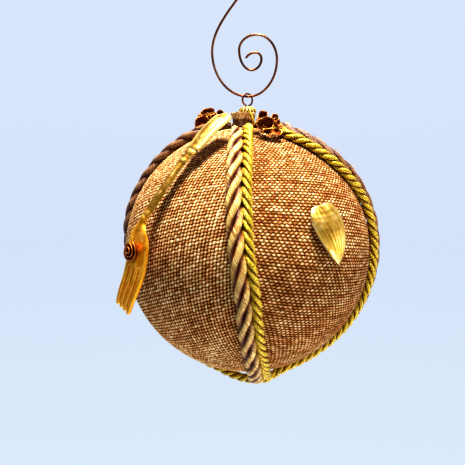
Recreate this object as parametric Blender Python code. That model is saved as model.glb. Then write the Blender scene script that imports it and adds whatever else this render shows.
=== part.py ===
"""A hanging ball ornament: a burlap-covered ball trimmed with cord, a small fork, a shell and flowers.

Lengths are in metres and +Z is up. The origin is where the ornament hangs: the middle of the
underside of the wire hook's crook. The side with the shell and the fork faces -Y. A place on the
ball is an azimuth, 0 at -Y and rising towards +X, and a latitude, both in degrees.
"""

import math

import bmesh
import bpy
from mathutils import Vector

# General
contact_gap = 0.0003  # left between pieces that touch
seam_gap = 0.0003  # left between two burlap panels

# Ball and burlap
ball_diameter = 0.100  # over the burlap
burlap_thickness = 0.0009
panel_rows = 14
panel_columns = 7
core_clearance = 0.0016  # between the core and the corners of the panels' facets

# Cords
thick_cord_diameter = 0.0059
thick_cord_flattening = 0.78  # its height over its width, pressed down by the gluing
thick_cord_groove = 0.62  # how far the grooves between its plies reach in
thick_cord_twist = 0.0236  # length in which a ply goes once round
gold_cord_diameter = 0.0037
gold_cord_twist = 0.0115
plies = 3
cord_ring_turn = 60  # degrees of twist between two rings of a cord's mesh
pressed_share = 0.45  # of its height that a cord keeps where another crosses over it
pressed_reach = 12  # degrees of the ball to each side of a crossing

# Neck, cap and loop
collar_radius = 0.0050
collar_shift = -0.0016  # sideways from the cap's axis
cord_end_clearance = 0.0012  # between the collar and the middle of a cord's end
collar_height = 0.0060
cap_radius = 0.00375
cap_height = 0.0023
cap_flutes = 10
cap_recess_radius = 0.00125
cap_recess_depth = 0.0012
loop_wire = 0.00075
loop_radius = 0.0025  # of the wire's centre line
loop_height = 0.0051  # from the cap's top to the middle of the wire
loop_foot_spread = 0.0012
loop_turn = 38  # degrees about +Z
cord_end_diameter = 0.0012

# Swirl hook
hook_wire = 0.00096
hook_rise = 0.0695  # between the wire's centre lines at the crook and at the cap's loop
crook_half_width = 0.0075
crook_drop = 0.0085
crook_tip = (0.0028, 0.0046)  # outward and downward from the crook's left side
upper_pull = 0.0155  # how far the shank runs on upright below the crook
lower_pull = 0.0150  # and above the spiral
# The spiral's places where the wire runs upright or level, as (sideways, rise above its lowest)
hook_spiral = [
    (-0.0143, 0.01775), (0.0003, 0), (0.01185, 0.0145), (0.00357, 0.0244), (-0.0034, 0.0184),
    (0.0016, 0.0105), (0.0056, 0.01485), (0.00325, 0.0174), (-0.0012, 0.0132),
]  # fmt: skip
hook_end_share = 0.72  # of the spiral's last quarter

# Fork
fork_thickness = 0.0011
fork_crown = 0.0009  # how far the handle's middle rises above its edges
handle_ends_at = 12  # latitude

# Shell, flowers and rosette
shell_length = 0.0226
shell_width = 0.0142
shell_rise = 0.0034
shell_ribs = 5
shell_place = (35.5, 12.6)
shell_turn = -11  # degrees from upright
left_flower_size = (0.0056, 0.0062)  # radius and height
left_flower_place = (-104.5, 73.6)
left_flower_faces = (-95, 60)
left_flower_raised = 0.6  # share of straight up in the way that it faces
right_flower_size = (0.0052, 0.0074)
right_flower_place = (23, 67)
flower_petals = 5
rosette_size = (0.0040, 0.0030)
rosette_place = (-44.4, 4.8)
rosette_seat = 0.0054  # the fork's height above the burlap under the rosette

# The four strands of cord, as (azimuth, latitude) from the neck down, along the line between the
# thick cord and the gold one. The front one and the back one meet where the cords cross under
# the ball. The front thick cord ends short of the collar.
thick_cord_starts_at = 65  # latitude
crossing = (45, -80)
left_crossing = (-113, -57)  # where the gold side cord passes over the left thick one
front_strand = [
    (-25, 87), (-12, 82), (-5, 70), (-4, 65), (-2.6, 50), (-2.1, 26), (-0.4, 3),
    (1.2, -8), (2.6, -21), (5, -36), (8, -46), (11.5, -57), (20, -69),
]  # fmt: skip
right_strand = [
    (66, 87), (60, 81), (50, 73), (46.3, 63.7), (52.5, 59), (62, 47.8), (72.5, 34.7),
    (77, 29.4), (81.5, 12), (83.5, -5), (86, -25), (87, -45), (85, -60), (78, -71),
]  # fmt: skip
back_strand = [
    (200, 87), (191, 82), (184, 70), (181, 50), (180, 25), (180, 0), (178, -25),
    (174, -48), (163, -67), (130, -80),
]  # fmt: skip
left_strand = [
    (-110, 87), (-101, 81), (-98, 70), (-99.5, 50), (-100.5, 38), (-100.5, 12), (-103, 3),
    (-106, -8), (-109, -25), (-113, -45), (-115.5, -53), (-118, -60), (-140, -76),
]  # fmt: skip
# How the gold side cord leaves the front of the right strand for the back of the left one, as
# (azimuth, latitude, side, level): see lay_cord.
gold_crossing = [
    (70, -75, 1, 0.55), (45, -80, 1, 1), (-45, -86, 1, 0.9), (-97, -77.2, 1, 0.3),
    (-105.5, -68, 0.9, 0.4), (-111.5, -60, 0.5, 1), (-115, -52, -0.25, 0.9), (-114, -42, -1, 0.2),
]  # fmt: skip
gold_tucks_in_at = -35  # the latitude above which it lies behind the left thick cord

# The fork's middle line, as (azimuth, latitude, height above the burlap, width)
fork_line = [
    (-19.5, 65.6, 0.0068, 0.0058),
    (-22.5, 61.5, 0.0062, 0.0066),
    (-28, 54.9, 0.0046, 0.0060),
    (-31, 48.5, 0.0034, 0.0048),
    (-34, 42.7, 0.0028, 0.0025),
    (-38.6, 30.4, 0.0024, 0.0022),
    (-43, 19, 0.0030, 0.0025),
    (-44.6, 15, 0.0034, 0.0024),
    (-45.0, 11, 0.0040, 0.0075),
    (-43.0, 6.5, 0.0050, 0.0112),
    (-42.0, 0.5, 0.0062, 0.0104),
    (-43.6, -6, 0.0076, 0.0092),
    (-46.0, -11.0, 0.0090, 0.0084),
    (-48.4, -15.3, 0.0100, 0.0078),
]
slot_starts_at = -0.5  # the latitude below which the fork's head is open between its tines
tine_edges = (-1, -0.62, -0.44, -0.09, 0.09, 0.44, 0.62, 1)  # shares of half the width

# Heights that follow from the stack between the hook's crook and the ball
ball_radius = ball_diameter / 2
hook_top = hook_wire / 2
hook_bottom = hook_top - hook_rise
loop_top = hook_bottom + (hook_wire + loop_wire) / 2 + contact_gap
cap_top = loop_top - loop_height
cap_base = cap_top - cap_height
collar_top = cap_base - contact_gap
ball_top = collar_top - collar_height
ball_centre = Vector((0, 0, ball_top - ball_radius))


def clear_scene():
    for thing in list(bpy.data.objects):
        bpy.data.objects.remove(thing, do_unlink=True)


def make_material(name, colour, roughness, metallic):
    made = bpy.data.materials.new(name)
    made.use_nodes = True
    shader = made.node_tree.nodes["Principled BSDF"]
    shader.inputs["Base Color"].default_value = (*colour, 1)
    shader.inputs["Roughness"].default_value = roughness
    shader.inputs["Metallic"].default_value = metallic
    return made


def add_object(name, shape, finish, sharp_angle=40):
    """Turn a bmesh with closed, outward faces into an object of the scene."""
    bmesh.ops.recalc_face_normals(shape, faces=shape.faces)
    mesh = bpy.data.meshes.new(name)
    shape.to_mesh(mesh)
    shape.free()
    mesh.shade_smooth()
    mesh.set_sharp_from_angle(angle=math.radians(sharp_angle))
    mesh.materials.append(finish)
    made = bpy.data.objects.new(name, mesh)
    bpy.context.collection.objects.link(made)
    return made


def direction(azimuth, latitude):
    """The outward direction at a place on the ball."""
    a, b = math.radians(azimuth), math.radians(latitude)
    return Vector((math.sin(a) * math.cos(b), -math.cos(a) * math.cos(b), math.sin(b)))


def smooth_rows(rows, step):
    """Read rows of numbers off a smooth curve through them, about a step apart in their first three."""
    count = len(rows[0])
    at = [0.0]
    for a, b in zip(rows, rows[1:]):
        at.append(at[-1] + math.dist(a[:3], b[:3]))

    def slope(i, k):
        lo, hi = max(i - 1, 0), min(i + 1, len(rows) - 1)
        if lo == i or hi == i:
            return (rows[hi][k] - rows[lo][k]) / (at[hi] - at[lo])
        before, after = at[i] - at[lo], at[hi] - at[i]
        rate_in = (rows[i][k] - rows[lo][k]) / before
        rate_out = (rows[hi][k] - rows[i][k]) / after
        return (rate_in * after + rate_out * before) / (before + after)

    steps = max(2, round(at[-1] / step))
    result, i = [], 0
    for n in range(steps + 1):
        here = at[-1] * n / steps
        while i < len(rows) - 2 and here > at[i + 1]:
            i += 1
        span = at[i + 1] - at[i]
        t = (here - at[i]) / span
        start, start_pull = 2 * t**3 - 3 * t**2 + 1, t**3 - 2 * t**2 + t
        end, end_pull = 3 * t**2 - 2 * t**3, t**3 - t**2
        result.append(
            [
                start * rows[i][k]
                + start_pull * span * slope(i, k)
                + end * rows[i + 1][k]
                + end_pull * span * slope(i + 1, k)
                for k in range(count)
            ]
        )
    return result


def add_ring(shape, points):
    return [shape.verts.new(p) for p in points]


def join_rings(shape, first, second):
    for k in range(len(first)):
        after = (k + 1) % len(first)
        shape.faces.new((first[k], first[after], second[after], second[k]))


def skin_rings(rings):
    """A closed body through a row of rings of points, flat at both ends."""
    shape = bmesh.new()
    made = [add_ring(shape, ring) for ring in rings]
    for first, second in zip(made, made[1:]):
        join_rings(shape, first, second)
    shape.faces.new(made[0])
    shape.faces.new(made[-1])
    return shape


def add_wire(name, points, diameter, finish):
    """A round wire with closed ends along a row of points."""
    curve = bpy.data.curves.new(name, "CURVE")
    curve.dimensions = "3D"
    curve.bevel_depth = diameter / 2
    curve.bevel_resolution = 1
    curve.use_fill_caps = True
    spline = curve.splines.new("POLY")
    spline.points.add(len(points) - 1)
    for knot, point in zip(spline.points, points):
        knot.co = (*point, 1)
    curve.materials.append(finish)
    made = bpy.data.objects.new(name, curve)
    bpy.context.collection.objects.link(made)
    return made


def lay_cord(name, route, finish, diameter, flattening, twist, section):
    """A twisted cord laid on the ball.

    The route holds rows of azimuth, latitude, side and level. The side is 1 where the cord lies to
    the left of its strand's line as seen looking along it from outside, and -1 to the right. The
    level is 0 on the ball, 1 lifted over a cord that crosses beneath, and -1 pressed flat. The
    section holds shares of the radius round the cord.
    """
    rows = [[*direction(azimuth, latitude), side, level] for azimuth, latitude, side, level in route]
    line = smooth_rows(rows, abs(twist) * cord_ring_turn / 360 / ball_radius)
    radius = diameter / 2
    lift = thick_cord_diameter * thick_cord_flattening * pressed_share + contact_gap
    places = []
    for i, (x, y, z, side, level) in enumerate(line):
        out = Vector((x, y, z)).normalized()
        before, after = line[max(i - 1, 0)], line[min(i + 1, len(line) - 1)]
        along = Vector(after[:3]) - Vector(before[:3])
        across = along.cross(out).normalized()
        height = flattening * (1 - (1 - pressed_share) * min(1, max(0, -level)))
        from_centre = ball_radius + contact_gap + radius * height + lift * min(1, max(0, level))
        centre = out * from_centre + across * side * (radius + contact_gap / 2)
        from_collar = math.hypot(centre.x - collar_shift, centre.y)
        if centre.z < 0 or from_collar > collar_radius + cord_end_clearance:
            places.append((centre, height))
    rings = []
    travelled = 0
    for i, (centre, height) in enumerate(places):
        if i:
            travelled += (centre - places[i - 1][0]).length
        before, after = places[max(i - 1, 0)][0], places[min(i + 1, len(places) - 1)][0]
        along = (after - before).normalized()
        across = along.cross(centre).normalized()
        out = across.cross(along)
        ring = []
        for k, reach in enumerate(section):
            turn = 2 * math.pi * (k / len(section) + travelled / twist)
            offset = out * height * math.cos(turn) + across * math.sin(turn)
            ring.append(ball_centre + centre + offset * reach * radius)
        rings.append(ring)
    return add_object(name, skin_rings(rings), finish)


def lay_strand(strand, side, level=0):
    return [(azimuth, latitude, side, level) for azimuth, latitude in strand]


def press_under(route, place):
    """Press the part of a route that lies under another cord near a place."""
    middle = direction(*place)
    result = []
    for azimuth, latitude, side, level in route:
        away = math.degrees(middle.angle(direction(azimuth, latitude)))
        result.append((azimuth, latitude, side, -1 if away < pressed_reach else level))
    return result


def front_loop(side, starts_at=90):
    """Down the front from a latitude, through the crossing and up the back."""
    down = lay_strand([place for place in front_strand if place[1] <= starts_at], side)
    up = lay_strand(reversed(back_strand), side)
    return press_under(down + [(*crossing, side, 0)] + up, crossing)


def add_cords(tan, gold):
    thick = dict(
        diameter=thick_cord_diameter,
        flattening=thick_cord_flattening,
        twist=thick_cord_twist,
        section=(1, thick_cord_groove) * plies,
    )
    thin = dict(diameter=gold_cord_diameter, flattening=1, twist=-gold_cord_twist, section=(1,) * plies)
    lay_cord("thick_cord_front", front_loop(1, thick_cord_starts_at), tan, **thick)
    lay_cord("gold_cord_front", front_loop(-1), gold, **thin)
    lay_cord("thick_cord_right", lay_strand(right_strand[:-2], -1), tan, **thick)
    left = press_under(lay_strand(reversed(left_strand), 1), left_crossing)
    lay_cord("thick_cord_left", left, tan, **thick)
    behind = [place for place in reversed(left_strand) if place[1] > gold_tucks_in_at]
    side = lay_strand(right_strand[:-1], 1) + gold_crossing + lay_strand(behind, -1)
    lay_cord("gold_cord_side", side, gold, **thin)


def add_ball(core):
    """The core under the burlap, small enough to clear the panels' flat facets."""
    shape = bmesh.new()
    bmesh.ops.create_uvsphere(
        shape,
        u_segments=4 * panel_columns,
        v_segments=panel_rows,
        radius=ball_radius - burlap_thickness - core_clearance,
    )
    bmesh.ops.translate(shape, verts=shape.verts, vec=ball_centre)
    return add_object("ball", shape, core)


def seam_places(strand):
    """Directions along a strand from the ball's top to the crossing, at even shares of the way."""
    rows = [direction(0, 90), *(direction(*place) for place in strand), direction(*crossing)]
    line = smooth_rows([list(row) for row in rows], 0.01)
    far = [0.0]
    for a, b in zip(line, line[1:]):
        far.append(far[-1] + math.dist(a, b))
    places = []
    shares = [0.012] + [j / panel_rows for j in range(1, panel_rows)] + [0.988]
    for share in shares:
        i = min(range(len(far)), key=lambda n: abs(far[n] - share * far[-1]))
        places.append(Vector(line[i]).normalized())
    return places


def add_panel(name, first_strand, second_strand, burlap):
    """One burlap gore between the lines of two strands, as a thin closed shell."""
    shape = bmesh.new()
    layers = []
    for radius in (ball_radius, ball_radius - burlap_thickness):
        grid = []
        for a, b in zip(seam_places(first_strand), seam_places(second_strand)):
            inset = seam_gap / 2 / ball_radius / a.angle(b)
            row = []
            for k in range(panel_columns + 1):
                share = inset + (1 - 2 * inset) * k / panel_columns
                row.append(shape.verts.new(ball_centre + a.slerp(b, share) * radius))
            grid.append(row)
        layers.append(grid)
    close_layers(shape, *layers)
    return add_object(name, shape, burlap)


def close_layers(shape, top, bottom, present=lambda row, column: True):
    """Join two grids of vertices into a closed body, leaving out the cells that aren't present."""
    rows, columns = len(top) - 1, len(top[0]) - 1

    def filled(j, k):
        return 0 <= j < rows and 0 <= k < columns and present(j, k)

    for j in range(rows):
        for k in range(columns):
            if not filled(j, k):
                continue
            around = ((j, k), (j, k + 1), (j + 1, k + 1), (j + 1, k))
            shape.faces.new([top[m][n] for m, n in around])
            shape.faces.new([bottom[m][n] for m, n in reversed(around)])
            neighbours = ((j - 1, k), (j, k + 1), (j + 1, k), (j, k - 1))
            for side, beside in enumerate(neighbours):
                if not filled(*beside):
                    (m, n), (p, q) = around[side], around[(side + 1) % 4]
                    shape.faces.new((top[m][n], bottom[m][n], bottom[p][q], top[p][q]))


def add_collar(burlap):
    """The frayed scrap of burlap gathered round the neck."""
    rows = ((0, 0.92), (0.25, 1.0), (0.7, 0.93), (1.0, 1.0))  # share of height, share of radius
    folds = 7
    rings = []
    for rise, reach in rows:
        ring = []
        for k in range(2 * folds):
            turn = math.pi * k / folds
            r = collar_radius * reach * (1 - 0.07 * (k % 2))
            z = ball_top + contact_gap + (collar_height - contact_gap) * rise
            ring.append((collar_shift + r * math.cos(turn), r * math.sin(turn), z))
        rings.append(ring)
    return add_object("collar", skin_rings(rings), burlap)


def add_cap(metal):
    """A fluted dome with a small round recess in its top for the loop's feet."""
    edge = cap_recess_radius
    profile = [
        (cap_radius, cap_base, 1),
        (cap_radius * 0.97, cap_base + cap_height * 0.25, 1),
        (cap_radius * 0.82, cap_base + cap_height * 0.62, 1),
        (cap_radius * 0.56, cap_base + cap_height * 0.9, 0.5),
        (edge, cap_top, 0),
        (edge, cap_top - cap_recess_depth, 0),
    ]
    rings = []
    for radius, z, fluting in profile:
        ring = []
        for k in range(2 * cap_flutes):
            turn = math.pi * k / cap_flutes
            r = radius * (1 - 0.09 * fluting * (k % 2))
            ring.append((r * math.cos(turn), r * math.sin(turn), z))
        rings.append(ring)
    return add_object("cap", skin_rings(rings), metal)


def add_cap_loop(copper):
    """A teardrop of wire whose two feet stand in the cap's recess."""
    middle = loop_top - loop_radius
    foot = cap_top - cap_recess_depth + contact_gap
    points = [(-loop_foot_spread / 2, foot), (-loop_foot_spread / 2, cap_top + 0.0002)]
    for k in range(11):
        turn = math.radians(-128 + 256 * k / 10)
        points.append((loop_radius * math.sin(turn), middle + loop_radius * math.cos(turn)))
    points += [(loop_foot_spread / 2, cap_top + 0.0002), (loop_foot_spread / 2, foot)]
    across = Vector((math.cos(math.radians(loop_turn)), math.sin(math.radians(loop_turn)), 0))
    wire = [across * x + Vector((0, 0, z)) for x, z in points]
    return add_wire("cap_loop", wire, loop_wire, copper)


def hook_places():
    """The hook's middle line: a crook, a swept shank and a spiral, all in the XZ plane.

    The shank is one long bend. Every other stretch is a quarter of an ellipse between two places
    where the wire runs level or upright.
    """
    top, bottom = hook_top, hook_bottom
    crook = [
        (-crook_half_width - crook_tip[0], top - crook_drop - crook_tip[1]),
        (-crook_half_width, top - crook_drop),
        (0, top),
        (crook_half_width, top - crook_drop),
    ]
    spiral = [(x, bottom + rise) for x, rise in hook_spiral]

    def quarter(start, end, starts_level, steps=6, share=1):
        points = []
        for k in range(steps):
            turn = math.pi / 2 * share * k / steps
            if starts_level:
                x = start[0] + (end[0] - start[0]) * math.sin(turn)
                z = end[1] + (start[1] - end[1]) * math.cos(turn)
            else:
                x = end[0] + (start[0] - end[0]) * math.cos(turn)
                z = start[1] + (end[1] - start[1]) * math.sin(turn)
            points.append((x, z))
        return points

    points = quarter(crook[0], crook[1], True, steps=4)
    points += quarter(crook[1], crook[2], False)
    points += quarter(crook[2], crook[3], True)
    (x0, z0), (x3, z3) = crook[3], spiral[0]
    steps = 12
    for k in range(steps):
        t = k / steps
        a, b, c, d = (1 - t) ** 3, 3 * t * (1 - t) ** 2, 3 * t**2 * (1 - t), t**3
        x = (a + b) * x0 + (c + d) * x3
        z = a * z0 + b * (z0 - upper_pull) + c * (z3 + lower_pull) + d * z3
        points.append((x, z))
    for k in range(len(spiral) - 2):
        points += quarter(spiral[k], spiral[k + 1], k % 2 == 1)
    points += quarter(spiral[-2], spiral[-1], True, share=hook_end_share)
    return [Vector((x, 0, z)) for x, z in points]


def add_cord_end(gold):
    """The loose end of a gold cord, curling down the right side of the collar."""
    reach = collar_radius + contact_gap + cord_end_diameter / 2
    points = []
    for k in range(8):
        share = k / 7
        turn = math.radians(24 + 24 * share)
        z = collar_top - collar_height * (0.02 + 0.8 * share)
        points.append(Vector((collar_shift + reach * math.sin(turn), -reach * math.cos(turn), z)))
    return add_wire("cord_end", points, cord_end_diameter, gold)


def add_fork(gold):
    """A plate along the fork's line, crowned on the handle and cut into four tines at its end."""
    rows = []
    for azimuth, latitude, height, width in fork_line:
        place = direction(azimuth, latitude) * (ball_radius + height)
        rows.append([*place, width])
    line = smooth_rows(rows, 0.0048)
    shape = bmesh.new()
    top, bottom, latitudes = [], [], []
    for i, row in enumerate(line):
        place, width = Vector(row[:3]), row[3]
        before, after = line[max(i - 1, 0)], line[min(i + 1, len(line) - 1)]
        along = Vector(after[:3]) - Vector(before[:3])
        across = along.cross(place).normalized()
        out = across.cross(along).normalized()
        latitudes.append(math.degrees(math.asin(place.z / place.length)))
        crown = fork_crown if latitudes[-1] > handle_ends_at else 0
        upper, lower = [], []
        for edge in tine_edges:
            side = ball_centre + place + across * edge * width / 2
            upper.append(shape.verts.new(side + out * (fork_thickness / 2 + crown * (1 - edge**2))))
            lower.append(shape.verts.new(side - out * fork_thickness / 2))
        top.append(upper)
        bottom.append(lower)

    def present(j, k):
        return k % 2 == 0 or latitudes[j] > slot_starts_at

    close_layers(shape, top, bottom, present)
    return add_object("fork", shape, gold)


def surface_frame(azimuth, latitude, turn):
    """Outward, lengthways and sideways directions at a place on the ball, the length turned."""
    out = direction(azimuth, latitude)
    east = Vector((0, 0, 1)).cross(out).normalized()
    north = out.cross(east)
    a = math.radians(turn)
    along = north * math.cos(a) + east * math.sin(a)
    return out, along, along.cross(out)


def add_shell(gold):
    """A ribbed teardrop shell, round at the top and pointed at the bottom, lying on the burlap."""
    out, along, across = surface_frame(*shell_place, shell_turn)
    rows, columns = 9, 2 * shell_ribs
    shape = bmesh.new()
    top, bottom = [], []
    for j in range(rows + 1):
        share = 0.03 + 0.95 * j / rows  # from the tip to the round end
        half = shell_width / 2 * (1.9 * share**0.72 * (1 - share) ** 0.42)
        upper, lower = [], []
        for k in range(columns + 1):
            v = 2 * k / columns - 1
            flat = along * (share - 0.5) * shell_length + across * v * half
            base = (out * ball_radius + flat).normalized()
            rise = shell_rise * math.sqrt(max(0, 1 - v * v)) * math.sin(math.pi * share) ** 0.6
            rib = 0.86 + 0.14 * (k % 2)
            seat = ball_radius + contact_gap
            lower.append(shape.verts.new(ball_centre + base * seat))
            upper.append(shape.verts.new(ball_centre + base * (seat + 0.0005 + rise * rib)))
        top.append(upper)
        bottom.append(lower)
    close_layers(shape, top, bottom)
    return add_object("shell", shape, gold)


def add_flower(name, foot, axis, size, petals, profile, metal):
    """A cupped flower: rings of (share of radius, share of height, depth of the petals' waves)."""
    radius, height = size
    side = axis.orthogonal().normalized()
    other = axis.cross(side)
    columns = 3 * petals
    rings = []
    for reach, rise, wave in profile:
        ring = []
        for k in range(columns):
            turn = 2 * math.pi * k / columns
            r = radius * reach * (1 - wave + wave * math.cos(petals * turn))
            ring.append(foot + axis * height * rise + (side * math.cos(turn) + other * math.sin(turn)) * r)
        rings.append(ring)
    return add_object(name, skin_rings(rings), metal)


def add_flowers(bronze):
    cup = [
        (0.24, 0, 0), (0.62, 0.3, 0.05), (0.98, 0.74, 0.1), (1.0, 0.86, 0.1),
        (0.8, 0.82, 0.08), (0.5, 0.5, 0.04), (0.34, 0.55, 0), (0.24, 0.96, 0), (0.1, 1.0, 0),
    ]  # fmt: skip
    axis = (direction(*left_flower_faces) + Vector((0, 0, left_flower_raised))).normalized()
    seat = ball_radius + gold_cord_diameter + 3 * contact_gap
    foot = ball_centre + direction(*left_flower_place) * seat
    add_flower("left_flower", foot, axis, left_flower_size, flower_petals, cup, bronze)
    out = direction(*right_flower_place)
    foot = ball_centre + out * (ball_radius + 2 * contact_gap)
    add_flower("right_flower", foot, out, right_flower_size, flower_petals, cup, bronze)
    rolled = [
        (0.8, 0, 0), (1.0, 0.3, 0), (0.95, 0.72, 0.03), (0.78, 0.5, 0.03), (0.6, 0.85, 0.03),
        (0.4, 0.6, 0), (0.24, 1.0, 0),
    ]  # fmt: skip
    out = direction(*rosette_place)
    foot = ball_centre + out * (ball_radius + rosette_seat + fork_thickness + contact_gap)
    add_flower("rosette", foot, out, rosette_size, flower_petals - 1, rolled, bronze)


def build():
    clear_scene()
    core = make_material("core", (0.55, 0.45, 0.33), 0.9, 0)
    burlap = make_material("burlap", (0.62, 0.42, 0.25), 0.9, 0)
    tan = make_material("tan_cord", (0.66, 0.48, 0.28), 0.45, 0)
    gold = make_material("gold_cord", (0.72, 0.52, 0.08), 0.35, 0.5)
    gilt = make_material("gilt_metal", (0.85, 0.58, 0.2), 0.3, 1)
    bronze = make_material("bronze", (0.32, 0.17, 0.06), 0.35, 1)
    copper = make_material("copper_wire", (0.6, 0.27, 0.12), 0.3, 1)
    add_ball(core)
    add_panel("panel_front_right", front_strand, right_strand, burlap)
    add_panel("panel_back_right", right_strand, back_strand, burlap)
    add_panel("panel_back_left", back_strand, left_strand, burlap)
    add_panel("panel_front_left", left_strand, front_strand, burlap)
    add_cords(tan, gold)
    add_collar(burlap)
    add_cord_end(gold)
    add_cap(gilt)
    add_cap_loop(copper)
    add_wire("swirl_hook", hook_places(), hook_wire, copper)
    add_fork(gilt)
    add_shell(gilt)
    add_flowers(bronze)


build()
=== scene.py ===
from math import atan2, cos, degrees, dist, hypot, pi, radians, sin, sqrt

import bmesh
import bpy
import numpy as np
from mathutils import Matrix, Vector, kdtree, noise


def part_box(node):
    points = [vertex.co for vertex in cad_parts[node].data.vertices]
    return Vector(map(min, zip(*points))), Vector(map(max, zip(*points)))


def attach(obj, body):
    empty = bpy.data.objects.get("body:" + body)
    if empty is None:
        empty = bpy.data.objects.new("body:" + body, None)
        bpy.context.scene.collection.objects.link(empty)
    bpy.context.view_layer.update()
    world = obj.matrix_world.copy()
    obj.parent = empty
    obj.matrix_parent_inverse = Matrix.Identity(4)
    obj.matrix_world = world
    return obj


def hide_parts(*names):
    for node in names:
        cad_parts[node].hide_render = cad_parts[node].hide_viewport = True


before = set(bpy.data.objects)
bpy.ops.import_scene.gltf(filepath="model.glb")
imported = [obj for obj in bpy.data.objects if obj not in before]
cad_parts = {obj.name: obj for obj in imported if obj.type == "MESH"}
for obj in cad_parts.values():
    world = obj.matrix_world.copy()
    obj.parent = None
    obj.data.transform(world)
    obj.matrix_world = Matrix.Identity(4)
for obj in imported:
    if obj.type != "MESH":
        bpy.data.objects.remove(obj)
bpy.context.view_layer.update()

coreLow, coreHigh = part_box("ball")
ballCentre = (coreLow + coreHigh) / 2
ballRadius = 0.050
gap = 0.0003  # between pieces that touch
print("frame loaded, ball centre", [round(c, 5) for c in ballCentre])


# Places on the ball are an azimuth, 0 in front and rising to the right, and a latitude, in degrees


def direction(azimuth, latitude):
    a, b = radians(azimuth), radians(latitude)
    return Vector((sin(a) * cos(b), -cos(a) * cos(b), sin(b)))


# rows read off a smooth curve through them, at even steps of its first three numbers
def smoothRows(rows, count):
    rows = np.array(rows, float)
    steps = np.linalg.norm(np.diff(rows[:, :3], axis=0), axis=1)
    at = np.concatenate(([0], np.cumsum(steps)))
    rate = np.diff(rows, axis=0) / steps[:, None]
    slope = np.empty_like(rows)
    slope[0], slope[-1] = rate[0], rate[-1]
    before, after = steps[:-1, None], steps[1:, None]
    slope[1:-1] = (rate[:-1] * after + rate[1:] * before) / (before + after)
    here = np.linspace(0, at[-1], count)
    i = np.clip(np.searchsorted(at, here, side="right") - 1, 0, len(steps) - 1)
    span = steps[i][:, None]
    t = ((here - at[i]) / steps[i])[:, None]
    return (
        (2 * t**3 - 3 * t**2 + 1) * rows[i]
        + (t**3 - 2 * t**2 + t) * span * slope[i]
        + (3 * t**2 - 2 * t**3) * rows[i + 1]
        + (t**3 - t**2) * span * slope[i + 1]
    )


def unit(vectors):
    return vectors / np.linalg.norm(vectors, axis=-1, keepdims=True)


# the distance to each of a row of points, along them
def travel(points):
    return np.concatenate(([0], np.cumsum(np.linalg.norm(np.diff(points, axis=0), axis=1))))


# the heading at each of a row of points
def alongPath(points):
    ahead = np.vstack((points[1:], points[-1:]))
    behind = np.vstack((points[:1], points[:-1]))
    return unit(ahead - behind)


# The strands of cord from the neck down, along the line between the thick cord and the gold one
crossing = (45, -80)
leftCrossing = (-113, -57)
frontStrand = [
    (-25, 87), (-12, 82), (-5, 70), (-4, 65), (-2.6, 50), (-2.1, 26), (-0.4, 3),
    (1.2, -8), (2.6, -21), (5, -36), (8, -46), (11.5, -57), (20, -69),
]
rightStrand = [
    (66, 87), (60, 81), (50, 73), (46.3, 63.7), (52.5, 59), (62, 47.8), (72.5, 34.7),
    (77, 29.4), (81.5, 12), (83.5, -5), (86, -25), (87, -45), (85, -60), (78, -71),
]
backStrand = [
    (200, 87), (191, 82), (184, 70), (181, 50), (180, 25), (180, 0), (178, -25),
    (174, -48), (163, -67), (130, -80),
]
leftStrand = [
    (-110, 87), (-101, 81), (-98, 70), (-99.5, 50), (-100.5, 38), (-100.5, 12), (-103, 3),
    (-106, -8), (-109, -25), (-113, -45), (-115.5, -53), (-118, -60), (-140, -76),
]
# azimuth, latitude, side of the line, and level: 1 over a thick cord, 0 on the cloth
goldCrossing = [
    (70, -75, 1, 0.30), (45, -80, 1, 1), (-45, -86, 1, 0.9), (-97, -77.2, 1, 0.3),
    (-105.5, -68, 0.9, 0.4), (-111.5, -60, 0.5, 1), (-115, -52, -0.25, 0.9), (-114, -42, -1, 0.2),
]


# Materials


def startMaterial(name, roughness=0.5, metallic=0.0):
    made = bpy.data.materials.new(name)
    made.use_nodes = True
    shader = made.node_tree.nodes["Principled BSDF"]
    shader.inputs["Roughness"].default_value = roughness
    shader.inputs["Metallic"].default_value = metallic
    return made, shader


# a node fed by values and by other nodes' outputs, or else one beside a given node
def addNode(kind, inputs, beside=None, **settings):
    linked = {name: value for name, value in inputs.items() if isinstance(value, bpy.types.NodeSocket)}
    tree = (beside or list(linked.values())[0]).id_data
    node = tree.nodes.new("ShaderNode" + kind)
    for name, value in settings.items():
        setattr(node, name, value)
    for name, value in inputs.items():
        if name in linked:
            tree.links.new(value, node.inputs[name])
        elif value is not None:
            node.inputs[name].default_value = value
    return node


def connect(socket, shader, name):
    shader.id_data.links.new(socket, shader.inputs[name])


def doMath(operation, a, b=None, c=None):
    return addNode("Math", {0: a, 1: b, 2: c}, operation=operation).outputs[0]


def times(a, b):
    return doMath("MULTIPLY", a, b)


def timesPlus(a, b, c):
    return doMath("MULTIPLY_ADD", a, b, c)


def mixColour(amount, first, second, blend="MIX"):
    first, second = ((*colour, 1) if isinstance(colour, tuple) else colour for colour in (first, second))
    inputs = {"Factor": amount, "A": first, "B": second}
    return addNode("Mix", inputs, data_type="RGBA", blend_type=blend).outputs["Result"]


def mixNumber(amount, first, second):
    return addNode("Mix", {"Factor": amount, "A": first, "B": second}).outputs["Result"]


def ramp(amount, stops):
    node = addNode("ValToRGB", {"Fac": amount})
    elements = node.color_ramp.elements
    while len(elements) < len(stops):
        elements.new(0.5)
    for element, (place, colour) in zip(elements, stops):
        element.position = place
        element.color = (*colour, 1)
    return node.outputs["Color"]


def fit(value, low, high, newLow=0.0, newHigh=1.0):
    inputs = {"Value": value, "From Min": low, "From Max": high, "To Min": newLow, "To Max": newHigh}
    return addNode("MapRange", inputs).outputs["Result"]


def pairUp(x, y):
    return addNode("CombineXYZ", {0: x, 1: y}).outputs[0]


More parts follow.
